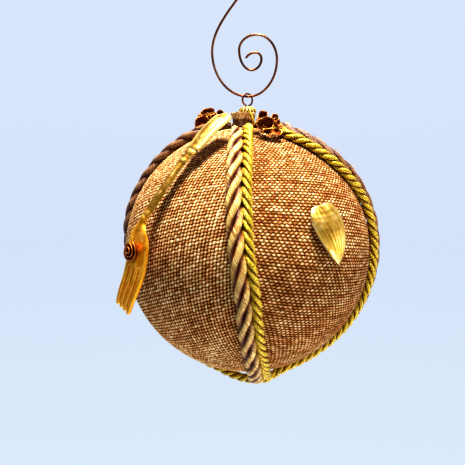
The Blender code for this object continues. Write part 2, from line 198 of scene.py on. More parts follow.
def addNoise(vector, scale, detail=2.0, roughness=0.5):
    inputs = {"Vector": vector, "Scale": scale, "Detail": detail, "Roughness": roughness}
    return addNode("TexNoise", inputs).outputs["Fac"]


# noise drawn out by a scale of its own along each of two lengths
def addStreaks(x, xScale, y, yScale, detail=3.0, roughness=0.5):
    place = pairUp(times(x, xScale), times(y, yScale))
    return addNoise(place, 1.0, detail, roughness)


def addBump(shader, height, distance, strength=1.0):
    bump = addNode("Bump", {"Height": height, "Distance": distance, "Strength": strength})
    connect(bump.outputs[0], shader, "Normal")


def paint(shader, colour, roughness=None):
    connect(colour, shader, "Base Color")
    if roughness:
        connect(roughness, shader, "Roughness")


def objectPlace(shader):
    return addNode("TexCoord", {}, shader).outputs["Object"]


# the two numbers of a piece's own map
def surfaceUv(shader, name):
    place = addNode("UVMap", {}, shader, uv_map=name).outputs[0]
    return addNode("SeparateXYZ", {0: place}).outputs[:2]


# the cloth's tone ramp: gap and shade are painted shade down between the threads, light is painted highlight
# on their crowns
burlapLook = {
    "gap": (0.050, 0.010, 0.002), "shade": (0.25, 0.085, 0.014),
    "body": (0.56, 0.33, 0.105), "light": (1.0, 0.88, 0.58),
    # what the colour of some threads and of the stains is multiplied by
    "pink": (1.0, 0.80, 0.72), "stain": (0.80, 0.62, 0.44),
    "fibreContrast": 0.85, "slubContrast": 1.15, "slubWidth": 0.30,
}
threadCrown, threadFloor = 0.62, 0.04  # height of a thread's middle, and of the ride at its lowest
# the threads' half widths as shares of their pitch, how far they ride over each other,
# how dull the warp is, and what is added to the cloth's tone
weaves = {
    "burlapLeft": {"weftHalf": 0.38, "warpHalf": 0.37, "ride": 0.42, "warpDim": 0.06, "tone": -0.06},
    "burlapRight": {"weftHalf": 0.42, "warpHalf": 0.25, "ride": 0.15, "warpDim": 0.38, "tone": -0.115},
}


def makeBurlap(name):
    look, weave = burlapLook, weaves[name]
    made, shader = startMaterial(name, roughness=0.9)
    u, v = surfaceUv(shader, "weave")
    column, row = doMath("FLOOR", u), doMath("FLOOR", v)
    acrossWarp = doMath("SUBTRACT", doMath("FRACT", u), 0.5)
    acrossWeft = doMath("SUBTRACT", doMath("FRACT", v), 0.5)
    parity = doMath("MODULO", doMath("ADD", column, row), 2.0)
    side = timesPlus(parity, -2.0, 1.0)  # 1 where the weft is on top

    def thread(across, half, slub, along, sign):
        inside = doMath("DIVIDE", across, timesPlus(slub, look["slubWidth"], half - look["slubWidth"] / 2))
        crown = timesPlus(times(inside, inside), -1.0, 1.0)
        crown = doMath("SQRT", doMath("MAXIMUM", crown, 0.0))
        wave = doMath("COSINE", times(along, pi))
        ride = timesPlus(times(wave, sign), weave["ride"], threadFloor)
        onThread = doMath("GREATER_THAN", crown, 0.02)
        return timesPlus(crown, threadCrown, times(ride, onThread))

    weftSlub, warpSlub = addStreaks(u, 0.23, row, 9.7), addStreaks(column, 7.9, v, 0.20)
    weft = thread(acrossWeft, weave["weftHalf"], weftSlub, acrossWarp, side)
    warp = thread(acrossWarp, weave["warpHalf"], warpSlub, acrossWeft, times(side, -1.0))
    weftOnTop = doMath("GREATER_THAN", weft, warp)
    height = doMath("MAXIMUM", weft, warp)
    weftFibre = addStreaks(u, 1.3, v, 11.0, roughness=0.65)
    warpFibre = addStreaks(u, 11.0, v, 1.3, roughness=0.65)
    fibre = mixNumber(weftOnTop, warpFibre, weftFibre)
    slub = mixNumber(weftOnTop, warpSlub, weftSlub)
    highest = threadCrown + threadFloor + weave["ride"]
    # the tone follows the thread height: painted shade down between the threads, painted highlight on their
    # crowns
    heightShading = timesPlus(height, 1 / highest, weave["tone"])
    tone = timesPlus(doMath("SUBTRACT", fibre, 0.5), look["fibreContrast"], heightShading)
    tone = timesPlus(doMath("SUBTRACT", slub, 0.5), look["slubContrast"], tone)
    tone = timesPlus(doMath("SUBTRACT", weftOnTop, 1.0), weave["warpDim"], tone)
    colour = ramp(tone, [
        (0.10, look["gap"]), (0.46, look["shade"]), (0.72, look["body"]), (1.0, look["light"]),
    ])
    dyed = mixColour(1.0, colour, look["pink"], "MULTIPLY")
    warpDye, weftDye = addStreaks(column, 3.1, v, 0.05), addStreaks(u, 0.05, row, 3.7)
    dye = mixNumber(weftOnTop, warpDye, weftDye)
    colour = mixColour(fit(dye, 0.42, 0.62), colour, dyed)
    stained = mixColour(1.0, colour, look["stain"], "MULTIPLY")
    stains = addNoise(pairUp(u, v), 0.06, 3.0)
    colour = mixColour(fit(stains, 0.35, 0.75, 0.0, 0.55), colour, stained)
    paint(shader, colour)
    shader.inputs["Specular IOR Level"].default_value = 0.12
    addBump(shader, timesPlus(fibre, 0.35, height), 0.00032, 0.9)
    return made


# a cord's colour darkened down in its grooves, by the lobe map, at 1 on the cord's outside
def shadeGrooves(colour, lobe, look):
    stops = [(look["deep"], look["groove"]), (0.78, look["flank"]), (0.92, (1.0, 1.0, 1.0))]
    return mixColour(1.0, colour, ramp(lobe, stops), "MULTIPLY")


satinLooks = {
    "satinCord": {
        "dark": (0.13, 0.028, 0.002), "body": (0.39, 0.175, 0.014), "light": (0.94, 0.72, 0.28),
        "groove": (0.09, 0.014, 0.002), "flank": (0.40, 0.18, 0.06), "deep": 0.50,
    },
    "dullCord": {  # the side loop's, browner than the front one's
        "dark": (0.050, 0.010, 0.003), "body": (0.16, 0.058, 0.018), "light": (0.40, 0.22, 0.10),
        "groove": (0.12, 0.025, 0.006), "flank": (0.55, 0.34, 0.20), "deep": 0.50,
    },
}
satinTwist = {"yarns": 2400.0, "hairs": 9000.0, "slant": 1.1}  # the first two to the metre round a ply


def makeSatinCord(name):
    look = satinLooks[name]
    made, shader = startMaterial(name, roughness=0.42)
    u, v = surfaceUv(shader, "ply")
    lobe = surfaceUv(shader, "lobe")[0]
    lean = timesPlus(v, satinTwist["slant"], u)
    lines = addStreaks(lean, satinTwist["yarns"], v, 90.0, 2.0, 0.6)
    hairs = addStreaks(lean, satinTwist["hairs"], v, 300.0, 2.0, 0.6)
    patches = times(addNoise(objectPlace(shader), 190.0, 3.0), 0.30)
    tone = timesPlus(fit(lines, 0.34, 0.66), 0.45, patches)
    tone = timesPlus(hairs, 0.25, tone)
    # brighter on the cord's outside by the lobe map: painted highlight on the plies' crests
    tone = timesPlus(fit(lobe, 0.82, 1.0), 0.12, tone)
    colour = ramp(tone, [(0.25, look["dark"]), (0.50, look["body"]), (0.76, look["light"])])
    colour = shadeGrooves(colour, lobe, look)
    paint(shader, colour, fit(lines, 0.3, 0.7, 0.55, 0.34))
    shader.inputs["Specular IOR Level"].default_value = 0.5
    addBump(shader, timesPlus(hairs, 0.3, lines), 0.00022)
    return made


goldLook = {
    "dark": (0.085, 0.024, 0.001), "body": (0.40, 0.205, 0.002), "light": (0.98, 0.78, 0.08),
    "groove": (0.12, 0.040, 0.003), "flank": (0.75, 0.62, 0.45), "deep": 0.55,
    "threads": 4600.0, "slant": 0.9,
}


def makeGoldCord(look):
    made, shader = startMaterial("goldCord", roughness=0.34, metallic=0.35)
    u, v = surfaceUv(shader, "ply")
    lobe = surfaceUv(shader, "lobe")[0]
    lean = timesPlus(v, look["slant"], u)
    threads = addStreaks(lean, look["threads"], v, 500.0, 2.0, 0.6)
    glints = addStreaks(u, 3300.0, v, 2900.0, 2.0, 0.6)
    # the glints noise sets bright specks in the colour: painted glints on the metal threads
    tone = timesPlus(glints, 1.25, times(threads, 0.65))
    colour = ramp(tone, [(0.70, look["dark"]), (0.90, look["body"]), (1.02, look["light"])])
    colour = shadeGrooves(colour, lobe, look)
    paint(shader, colour, fit(glints, 0.3, 0.7, 0.50, 0.26))
    addBump(shader, timesPlus(glints, 0.5, threads), 0.00020, 0.9)
    return made


# cast or stamped metal: darker in the lows and lighter on raised edges by how pointed the surface is,
# painted shade and painted highlight
def makeMetal(name, look):
    made, shader = startMaterial(name, roughness=look["roughness"], metallic=look["metallic"])
    place = objectPlace(shader)
    clouds = addNoise(place, look["wear"], 4.0, 0.6)
    grain = addNoise(place, look["wear"] * 9, 3.0, 0.6)
    # pointiness lifts the tone on raised edges and lowers it in hollows: painted highlight and painted shade
    edges = fit(addNode("NewGeometry", {}, shader).outputs["Pointiness"], 0.42, 0.60)
    tone = timesPlus(clouds, 0.50, times(edges, 0.70))
    stops = (0.26, 0.58, 0.86)
    colour = ramp(tone, list(zip(stops, look["colours"])))
    if "rim" in look:  # petals carry their own map, at 1 on the rim
        onRim = timesPlus(clouds, 0.12, surfaceUv(shader, "petal")[1])
        onRim = fit(onRim, 0.98, 1.04)
        colour = mixColour(onRim, colour, look["rim"])
    if "far" in look:  # the second set of colours, beyond a place along the piece
        second = ramp(tone, list(zip(stops, look["far"])))
        beyond = fit(surfaceUv(shader, "cast")[1], *look["changes"])
        colour = mixColour(beyond, colour, second)
    worn = timesPlus(grain, 0.4, clouds)
    dull = fit(worn, 0.4, 1.0, look["roughness"] * 0.8, look["roughness"] * 1.35)
    paint(shader, colour, dull)
    addBump(shader, timesPlus(grain, 0.5, clouds), look["bump"], 0.7)
    return made


copperLook = [(0.42, (0.090, 0.022, 0.008)), (0.62, (0.22, 0.070, 0.026)), (0.86, (0.50, 0.22, 0.10))]
coreLook = [(0.3, (0.10, 0.045, 0.02)), (0.7, (0.26, 0.13, 0.06))]


def makeCopper():
    made, shader = startMaterial("drawnCopper", roughness=0.30, metallic=1.0)
    u, v = surfaceUv(shader, "ply")
    drawn = addStreaks(u, 5000.0, v, 60.0, 2.0)
    stain = addNoise(objectPlace(shader), 110.0, 2.0)
    colour = ramp(timesPlus(drawn, 0.22, stain), copperLook)
    paint(shader, colour, fit(stain, 0.3, 0.7, 0.26, 0.38))
    addBump(shader, drawn, 0.00002, 0.5)
    return made


def makeCore():
    made, shader = startMaterial("gluedCore", roughness=0.9)
    cells = addNoise(objectPlace(shader), 900.0, 3.0)
    paint(shader, ramp(cells, coreLook))
    addBump(shader, cells, 0.0003, 0.7)
    return made


leftBurlap, rightBurlap = (makeBurlap(name) for name in weaves)
satin, dullSatin = (makeSatinCord(name) for name in satinLooks)
goldThread = makeGoldCord(goldLook)
metals = {
    "forkGilt": {
        "colours": [(0.12, 0.045, 0.004), (0.36, 0.19, 0.024), (0.68, 0.48, 0.15)],
        "far": [(0.20, 0.045, 0.001), (0.78, 0.32, 0.005), (1.0, 0.56, 0.06)], "changes": (0.44, 0.50),
        "roughness": 0.46, "metallic": 0.85, "wear": 420.0, "bump": 0.00014,
    },
    "shellGilt": {
        "colours": [(0.24, 0.075, 0.003), (0.86, 0.53, 0.090), (1.0, 0.92, 0.60)],
        "roughness": 0.34, "metallic": 0.9, "wear": 300.0, "bump": 0.00006,
    },
    "capGilt": {
        "colours": [(0.09, 0.030, 0.002), (0.20, 0.085, 0.006), (0.40, 0.21, 0.02)],
        "rim": (0.95, 0.72, 0.18), "roughness": 0.38, "metallic": 0.9, "wear": 500.0, "bump": 0.00004,
    },
    "bronze": {
        "colours": [(0.035, 0.006, 0.002), (0.210, 0.048, 0.008), (0.44, 0.15, 0.026)],
        "rim": (0.46, 0.20, 0.045), "roughness": 0.42, "metallic": 0.9, "wear": 260.0, "bump": 0.00003,
    },
}
forkGilt, shellGilt, capGilt, bronze = (makeMetal(name, metals[name]) for name in metals)
copper = makeCopper()
print("materials made")


# Shared making


def newObject(name, data):
    made = bpy.data.objects.new(name, data)
    bpy.context.scene.collection.objects.link(made)
    return made


def addPiece(name, mesh, finish, slot, *nodes):
    mesh.shade_smooth()
    mesh.materials.clear()
    mesh.materials.append(finish)
    made = newObject(name, mesh)
    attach(made, "root")
    if nodes:
        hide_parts(*nodes)
    return made


# a flat grid, 0 to 1 both ways, to be bent into shape
def startGrid(columns, rows):
    shape = bmesh.new()
    bmesh.ops.create_grid(shape, x_segments=columns, y_segments=rows, size=0.5)
    bmesh.ops.translate(shape, verts=shape.verts, vec=(0.5, 0.5, 0))
    return shape


def finishMesh(name, shape):
    mesh = bpy.data.meshes.new(name)
    shape.to_mesh(mesh)
    shape.free()
    return mesh


def readPlaces(mesh):
    places = np.empty(len(mesh.vertices) * 3, np.float32)
    mesh.vertices.foreach_get("co", places)
    return places.reshape(-1, 3).astype(float)


def writePlaces(mesh, places):
    mesh.vertices.foreach_set("co", np.ascontiguousarray(places, np.float32).ravel())
    mesh.update()


def writeUv(mesh, name, perVertex):
    layer = mesh.uv_layers.new(name=name)
    corners = np.empty(len(mesh.loops), np.int32)
    mesh.loops.foreach_get("vertex_index", corners)
    layer.uv.foreach_set("vector", np.ascontiguousarray(perVertex[corners], np.float32).ravel())


# offset: -1 inward from the faces, 0 to both sides
def addWall(piece, thickness, offset):
    wall = piece.modifiers.new("thickness", "SOLIDIFY")
    wall.thickness = thickness
    wall.offset = offset


# round tubes along paths, with a map in metres round and along each
def tubeMesh(name, paths, thickness, sides=4, swells=None):
    curve = bpy.data.curves.new(name, "CURVE")
    curve.dimensions = "3D"
    curve.bevel_depth = thickness / 2
    curve.bevel_resolution = sides
    curve.use_fill_caps = True
    for n, path in enumerate(paths):
        spline = curve.splines.new("POLY")
        spline.points.add(len(path) - 1)
        rows = np.column_stack((path, np.ones(len(path)))).astype(np.float32)
        spline.points.foreach_set("co", rows.ravel())
        if swells:
            spline.points.foreach_set("radius", swells[n].astype(np.float32))
    holder = newObject(name, curve)
    bpy.context.view_layer.update()
    graph = bpy.context.evaluated_depsgraph_get()
    mesh = bpy.data.meshes.new_from_object(holder.evaluated_get(graph))
    bpy.data.objects.remove(holder)
    length = travel(paths[0])[-1]
    layer = mesh.uv_layers[0]
    layer.name = "ply"
    flat = np.empty(len(mesh.loops) * 2, np.float32)
    layer.uv.foreach_get("vector", flat)
    flat = flat.reshape(-1, 2)[:, ::-1] * np.array([pi * thickness, length], np.float32)
    layer.uv.foreach_set("vector", flat.ravel())
    return mesh


# Burlap panels

panelCut = {
    "columns": 280, "rows": 320,
    "relief": 0.00032,  # of the threads
    "ripple": 0.10,  # of a row's pitch
    "firstThread": 200,  # keeps the thread counts above 0
}
# each panel: its two strands, middle azimuth, angles of its rows and columns, their pitches, its cloth
panels = {
    "panel_front_left": (leftStrand, frontStrand, -51, (17, 88), (0.00132, 0.00126), leftBurlap),
    "panel_front_right": (frontStrand, rightStrand, 42, (-8, 72), (0.00113, 0.00090), rightBurlap),
    "panel_back_right": (rightStrand, backStrand, 132, (6, 86), (0.00126, 0.00130), leftBurlap),
    "panel_back_left": (backStrand, leftStrand, 220, (-8, 78), (0.00115, 0.00095), rightBurlap),
}


def seamDirections(strand, count):
    rows = [direction(0, 90), *(direction(*place) for place in strand), direction(*crossing)]
    return unit(smoothRows([list(row) for row in rows], count))


# height of the cloth at thread counts u and v, from about -0.4 to 1
def weaveHeight(u, v, weave):
    column, row = np.floor(u), np.floor(v)
    acrossWarp, acrossWeft = u - column - 0.5, v - row - 0.5
    side = 1 - 2 * np.mod(column + row, 2)

    def thread(across, half, along, sign):
        crown = threadCrown * np.sqrt(np.clip(1 - (across / half) ** 2, 0, 1))
        return crown + sign * weave["ride"] * np.cos(pi * along) * (crown > 0)

    weft = thread(acrossWeft, weave["weftHalf"], acrossWarp, side)
    return np.maximum(weft, thread(acrossWarp, weave["warpHalf"], acrossWeft, -side))


# slow sideways drift of the threads
def wander(a, b, seed):
    return 0.35 * np.sin(0.05 * a + 0.03 * b + seed) + 0.25 * np.sin(0.09 * b - 0.04 * a + 2.1 * seed)


def layPanel(name, cut):
    first, second, middle, (rowAngle, columnAngle), (rowPitch, columnPitch), cloth = panels[name]
    mesh = finishMesh(name, startGrid(cut["columns"], cut["rows"]))
    places = readPlaces(mesh)
    share, down = places[:, 0], 1 - places[:, 1]
    line = np.rint(down * cut["rows"]).astype(int)
    a = seamDirections(first, cut["rows"] + 1)[line]
    b = seamDirections(second, cut["rows"] + 1)[line]
    between = np.arccos(np.clip((a * b).sum(1), -1, 1)) + 1e-6
    fromFirst = a * np.sin((1 - share) * between)[:, None]
    fromSecond = b * np.sin(share * between)[:, None]
    out = unit((fromFirst + fromSecond) / np.sin(between)[:, None])
    centre = np.array(direction(middle, 0))
    east = np.cross((0, 0, 1), centre)
    north = np.cross(centre, east)
    away = np.arccos(np.clip(out @ centre, -1, 1))
    stretch = ballRadius * away / np.maximum(np.sin(away), 1e-6)
    x, y = (out @ east) * stretch, (out @ north) * stretch
    rowWay, columnWay = radians(rowAngle), radians(columnAngle)
    turn = sin(columnWay - rowWay)
    along = (x * sin(columnWay) - y * cos(columnWay)) / turn
    up = (y * cos(rowWay) - x * sin(rowWay)) / turn
    u = along * turn / columnPitch + cut["firstThread"]
    v = up * turn / rowPitch + cut["firstThread"]
    u, v = u + wander(v, u, middle), v + wander(u, v, middle + 2)
    v = v + cut["ripple"] * np.sin(pi * (u + 0.5 * v))  # each row ripples over the columns
    rise = (weaveHeight(u, v, weaves[cloth.name]) - 1.0) * cut["relief"]
    writePlaces(mesh, np.array(ballCentre) + out * (ballRadius + rise)[:, None])
    writeUv(mesh, "weave", np.column_stack((u, v)))
    piece = addPiece(name + "_cloth", mesh, cloth, "burlap", name)
    bm = bmesh.new()
    bm.from_mesh(mesh)
    some = list(bm.faces)[::500]
    if sum(f.normal.dot(f.calc_center_median() - ballCentre) for f in some) < 0:
        bmesh.ops.reverse_faces(bm, faces=bm.faces)
    bmesh.ops.remove_doubles(bm, verts=bm.verts, dist=1e-6)
    bm.to_mesh(mesh)
    bm.free()


for panelName in panels:
    layPanel(panelName, panelCut)
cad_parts["ball"].data.materials.clear()
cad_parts["ball"].data.materials.append(makeCore())
print("burlap laid")


# Cords

thickCord = {"diameter": 0.0059, "flattening": 0.78, "twist": 0.0236, "ply": 0.00280, "step": 0.0007}
goldCord = {"diameter": 0.0037, "flattening": 1.0, "twist": -0.0115, "ply": 0.00176, "step": 0.0005}
thickCordStartsAt, goldCordStartsAt = 65, 78  # latitudes
pressedShare = 0.45  # of a thick cord's height, where another one lies over it
pressedReach = 12  # degrees each side of a crossing
lift = thickCord["diameter"] * thickCord["flattening"] * pressedShare + gap
bedding = 0.0004  # how far the cords press into the cloth
sideBySide = 0.93  # closeness of a thick cord and a gold one
collarRadius = 0.0050
collarShift = -0.0016  # sideways from the cap's axis
cordEndClearance = 0.0012
knotPlace, knotReach = 0.0022, 0.0026  # of the swelling at a cord's start


# the middle of a cord along its route, the way outward, the way across, and its half height
def layRoute(route, cord):
    rows = [[*direction(azimuth, latitude), side, level] for azimuth, latitude, side, level in route]
    length = sum(dist(a[:3], b[:3]) for a, b in zip(rows, rows[1:])) * ballRadius
    line = smoothRows(rows, int(length / cord["step"]))
    out = unit(line[:, :3])
    across = unit(np.cross(alongPath(line[:, :3]), out))
    side, level = line[:, 3:4], line[:, 4:5]
    radius = cord["diameter"] / 2
    height = cord["flattening"] * (1 - (1 - pressedShare) * np.clip(-level, 0, 1))
    centre = out * (ballRadius + gap - bedding + radius * height + lift * np.clip(level, 0, 1))
    centre += across * side * radius * sideBySide
    fromCollar = np.hypot(centre[:, 0] - collarShift, centre[:, 1])
    keep = (centre[:, 2] < 0) | (fromCollar > collarRadius + cordEndClearance)
    centre, height = centre[keep], height[keep]
    heading = alongPath(centre)
    across = unit(np.cross(heading, centre))
    out = np.cross(across, heading)
    return centre, out, across, height[:, 0] * radius


def twistCord(name, route, cord, finish, slot, knot=0.0):
    centre, out, across, halfHeight = layRoute(route, cord)
    travelled = travel(centre)
    plyRadius = cord["ply"] / 2
    slim = np.minimum(1, 0.95 * halfHeight / plyRadius)
    paths, swells = [], []
    for ply in range(3):
        turn = 2 * pi * (ply / 3 + travelled / cord["twist"])
        slack = 1 + 0.05 * np.sin(travelled * 310 + ply * 2.3) + 0.03 * np.sin(travelled * 830 + ply)
        reachOut = (halfHeight - plyRadius * slim) * np.cos(turn)
        reachAcross = (cord["diameter"] / 2 - plyRadius * slim) * np.sin(turn)
        paths.append(np.array(ballCentre) + centre + out * reachOut[:, None] + across * reachAcross[:, None])
        swelling = np.exp(-((travelled - knotPlace) / knotReach) ** 2)
        swells.append(slim * slack * (1 + knot * swelling))
    mesh = tubeMesh(name + "_plies", paths, cord["ply"], swells=swells)
    tree = kdtree.KDTree(len(centre))
    for n, point in enumerate(centre):
        tree.insert(point, n)
    tree.balance()
    places = readPlaces(mesh) - np.array(ballCentre)
    near = np.array([tree.find(place)[1] for place in places])
    offset = places - centre[near]
    high, wide = (offset * out[near]).sum(1), (offset * across[near]).sum(1)
    lobe = np.hypot(high / halfHeight[near], wide / (cord["diameter"] / 2))  # 1 on the cord's outside
    writeUv(mesh, "lobe", np.column_stack((lobe, lobe)))
    addPiece(name + "_plies", mesh, finish, slot, name)


def layStrand(strand, side):
    return [(azimuth, latitude, side, 0) for azimuth, latitude in strand]


def pressUnder(route, place):
    middle = direction(*place)
    near = [degrees(middle.angle(direction(row[0], row[1]))) < pressedReach for row in route]
    return [(*row[:3], -1) if pressed else row for row, pressed in zip(route, near)]


def frontLoop(side, startsAt):
    down = layStrand([place for place in frontStrand if place[1] <= startsAt], side)
    return pressUnder(down + [(*crossing, side, 0)] + layStrand(backStrand[::-1], side), crossing)


twistCord("thick_cord_front", frontLoop(1, thickCordStartsAt), thickCord, satin, "tan_cord")
twistCord("gold_cord_front", frontLoop(-1, goldCordStartsAt), goldCord, goldThread, "gold_cord", knot=0.5)
twistCord("thick_cord_right", layStrand(rightStrand[:-2], -1), thickCord, dullSatin, "tan_cord")
leftRoute = pressUnder(layStrand(leftStrand[::-1], 1), leftCrossing)
twistCord("thick_cord_left", leftRoute, thickCord, dullSatin, "tan_cord")
beyondCrossing = [place for place in leftStrand[::-1] if place[1] > -35]
sideRoute = layStrand(rightStrand[:-1], 1) + goldCrossing + layStrand(beyondCrossing, -1)
twistCord("gold_cord_side", sideRoute, goldCord, goldThread, "gold_cord")
print("cords twisted")


# Hook, cap, loop and collar

hookShape = {
    "wire": 0.00096, "rise": 0.0695, "crookHalfWidth": 0.0075, "crookDrop": 0.0085,
    "crookTip": (0.0028, 0.0046), "upperPull": 0.0155, "lowerPull": 0.0150, "endShare": 0.72,
    "spiral": [
        (-0.0143, 0.01775), (0.0003, 0), (0.01185, 0.0145), (0.00357, 0.0244), (-0.0034, 0.0184),
        (0.0016, 0.0105), (0.0056, 0.01485), (0.00325, 0.0174), (-0.0012, 0.0132),
    ],
}


# a quarter of an ellipse, or a share of one
def bendQuarter(start, end, startsLevel, share=1.0):
    (x0, z0), (x1, z1) = start, end
    points = []
    for k in range(20):
        turn = pi / 2 * share * k / 20
        s, c = sin(turn), cos(turn)
        if startsLevel:
            points.append((x0 + (x1 - x0) * s, z1 + (z0 - z1) * c))
        else:
            points.append((x1 + (x0 - x1) * c, z0 + (z1 - z0) * s))
    return points


def bendHook(hook):
    top = hook["wire"] / 2
    bottom = top - hook["rise"]
    half, drop = hook["crookHalfWidth"], hook["crookDrop"]
    tip = (-half - hook["crookTip"][0], top - drop - hook["crookTip"][1])
    crook = [tip, (-half, top - drop), (0, top), (half, top - drop)]
    spiral = [(x, bottom + rise) for x, rise in hook["spiral"]]
    points = bendQuarter(crook[0], crook[1], True) + bendQuarter(crook[1], crook[2], False)
    points += bendQuarter(crook[2], crook[3], True)
    (x0, z0), (x3, z3) = crook[3], spiral[0]
    for k in range(40):
        t = k / 40
        a, b, c, d = (1 - t) ** 3, 3 * t * (1 - t) ** 2, 3 * t**2 * (1 - t), t**3
        z = a * z0 + b * (z0 - hook["upperPull"]) + c * (z3 + hook["lowerPull"]) + d * z3
        points.append(((a + b) * x0 + (c + d) * x3, z))
    for k in range(len(spiral) - 2):
        points += bendQuarter(spiral[k], spiral[k + 1], k % 2 == 1)
    points += bendQuarter(spiral[-2], spiral[-1], True, share=hook["endShare"])
    return np.array([(x, 0, z) for x, z in points])


hookMesh = tubeMesh("hook_wire", [bendHook(hookShape)], hookShape["wire"])
addPiece("hook_wire", hookMesh, copper, "copper_wire", "swirl_hook")

capLow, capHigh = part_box("cap")
loopLow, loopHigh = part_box("cap_loop")
loopShape = {
    "wire": 0.00075, "radius": 0.0025, "footSpread": 0.0012,
    "opensAt": 128, "turn": 38,  # degrees
}


def bendLoop(loop):
    middle = loopHigh.z - loop["wire"] / 2 - loop["radius"]
    neck = capHigh.z + 0.0002
    side = loop["footSpread"] / 2
    points = [(-side, loopLow.z), (-side, neck)]
    for share in np.linspace(-1, 1, 61):
        turn = radians(loop["opensAt"] * share)
        points.append((loop["radius"] * sin(turn), middle + loop["radius"] * cos(turn)))
    points += [(side, neck), (side, loopLow.z)]
    angle = radians(loop["turn"])
    return np.array([(x * cos(angle), x * sin(angle), z) for x, z in points])


loopMesh = tubeMesh("loop_wire", [bendLoop(loopShape)], loopShape["wire"])
addPiece("loop_wire", loopMesh, copper, "copper_wire", "cap_loop")

capShape = {
    "radius": 0.00375, "flutes": 15, "depth": 0.14,
    "profile": [  # shares of the radius and of the height
        (0.0, 0.98), (0.22, 1.0), (0.34, 0.97), (0.56, 0.9), (0.72, 0.76), (0.84, 0.58), (0.93, 0.36),
        (0.97, 0.2), (1.0, 0.1), (0.98, 0.0), (0.80, 0.02), (0.0, 0.06),
    ],
}


# half profile spun round, then the flutes pressed in
def spinCap(cap):
    tall = capHigh.z - capLow.z
    shape = bmesh.new()
    verts = [shape.verts.new((r * cap["radius"], 0, capLow.z + z * tall)) for r, z in cap["profile"]]
    edges = [shape.edges.new(pair) for pair in zip(verts, verts[1:])]
    bmesh.ops.spin(
        shape, geom=verts + edges, cent=(0, 0, 0), axis=(0, 0, 1), angle=2 * pi, steps=120, use_merge=True
    )
    bmesh.ops.remove_doubles(shape, verts=shape.verts, dist=1e-6)
    crests = []
    for vert in shape.verts:
        far = hypot(vert.co.x, vert.co.y) / cap["radius"]
        turn = atan2(vert.co.y, vert.co.x)
        groove = max(0, min(1, (far - 0.3) / 0.3)) * (1 - abs(cos(cap["flutes"] * turn / 2)) ** 0.7)
        vert.co.x *= 1 - cap["depth"] * groove
        vert.co.y *= 1 - cap["depth"] * groove
        crests.append((0, 1 - 0.35 * groove))
    bmesh.ops.recalc_face_normals(shape, faces=shape.faces)
    mesh = finishMesh("cap_fluted", shape)
    writeUv(mesh, "petal", np.array(crests))
    return mesh


addPiece("cap_fluted", spinCap(capShape), capGilt, "gilt_metal", "cap")

collarLow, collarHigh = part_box("collar")
collarTall = collarHigh.z - collarLow.z
collarShape = {"radius": collarRadius, "folds": 7, "threads": 46, "threadThickness": 0.00034}
collarColours = [(0.38, (0.035, 0.009, 0.004)), (0.56, (0.22, 0.090, 0.032)), (0.92, (0.88, 0.66, 0.36))]


def spinCollar(collar):
    shape = bmesh.new()
    r = collar["radius"]
    bmesh.ops.create_cone(shape, cap_ends=False, segments=140, radius1=r, radius2=r, depth=collarTall)
    upright = [e for e in shape.edges if abs(e.verts[0].co.z - e.verts[1].co.z) > collarTall / 2]
    bmesh.ops.subdivide_edges(shape, edges=upright, cuts=24, use_grid_fill=True)
    for vert in shape.verts:
        rise = vert.co.z / collarTall + 0.5
        turn = atan2(vert.co.y, vert.co.x)
        pinch = 0.90 - 0.05 * sin(pi * min(1, rise * 1.1)) + 0.09 * rise**4
        fold = 1 + 0.05 * cos(collar["folds"] * turn + 2 * rise) + 0.025 * sin(17 * turn - 5 * rise)
        rough = 1 + 0.06 * noise.noise(Vector((cos(turn) * 9, sin(turn) * 9, rise * 12)))
        vert.co.x *= pinch * fold * rough
        vert.co.y *= pinch * fold * rough
        vert.co.z += (collarLow.z + collarHigh.z) / 2
        vert.co.x += collarShift
    return finishMesh("collar_cloth", shape)


def makeCollarCloth():
    made, shader = startMaterial("frayedBurlap", roughness=0.9)
    u, v = surfaceUv(shader, "weave")
    lines = addStreaks(u, 900.0, v, 2200.0, roughness=0.6)
    patches = addNoise(objectPlace(shader), 900.0, 3.0, 0.65)
    # lighter towards the top rim: painted light falling from above
    rim = fit(v, collarTall - 0.0032, collarTall - 0.0014, 0.0, 0.70)
    tone = timesPlus(lines, 0.45, timesPlus(patches, 0.55, rim))
    paint(shader, ramp(tone, collarColours))
    addBump(shader, doMath("ADD", patches, lines), 0.0006)
    return made


collarMesh = spinCollar(collarShape)
collarPlaces = readPlaces(collarMesh)
aroundCollar = np.arctan2(collarPlaces[:, 1], collarPlaces[:, 0] - collarShift) * collarShape["radius"]
writeUv(collarMesh, "weave", np.column_stack((aroundCollar, collarPlaces[:, 2] - collarLow.z)))
collarCloth = makeCollarCloth()
collarPiece = addPiece("collar_cloth", collarMesh, collarCloth, "burlap", "collar")


# short loose threads along the collar's upper rim
def frayThreads(collar):
    paths = []
    for k in range(collar["threads"]):
        turn = 2 * pi * (k + 0.4 * sin(k * 2.7)) / collar["threads"]
        r = collar["radius"] * (0.86 + 0.10 * sin(k * 5.1))
        reach = 0.0011 + 0.0007 * sin(k * 3.3)
        lean = 0.5 * sin(k * 1.9)
        path = []
        for s in np.linspace(0, 1, 7):
            angle = turn + lean * s * reach / r
            far = r + reach * 0.55 * s
            z = collarHigh.z - 0.0010 + 0.0009 * sin(s * 2.2)
            path.append((collarShift + far * cos(angle), far * sin(angle), z))
        paths.append(np.array(path))
    return paths


frayMesh = tubeMesh("collar_fray", frayThreads(collarShape), collarShape["threadThickness"], sides=1)
frayPlaces = readPlaces(frayMesh)
# the loose threads take the collar's top tone, with its painted light from above
writeUv(frayMesh, "weave", np.column_stack((frayPlaces[:, 0], np.full(len(frayPlaces), collarTall))))
frayPiece = addPiece("collar_fray", frayMesh, collarCloth, "burlap")

cordEnd = {"diameter": 0.0012, "ply": 0.00062, "azimuth": 24, "sweep": 24}  # degrees


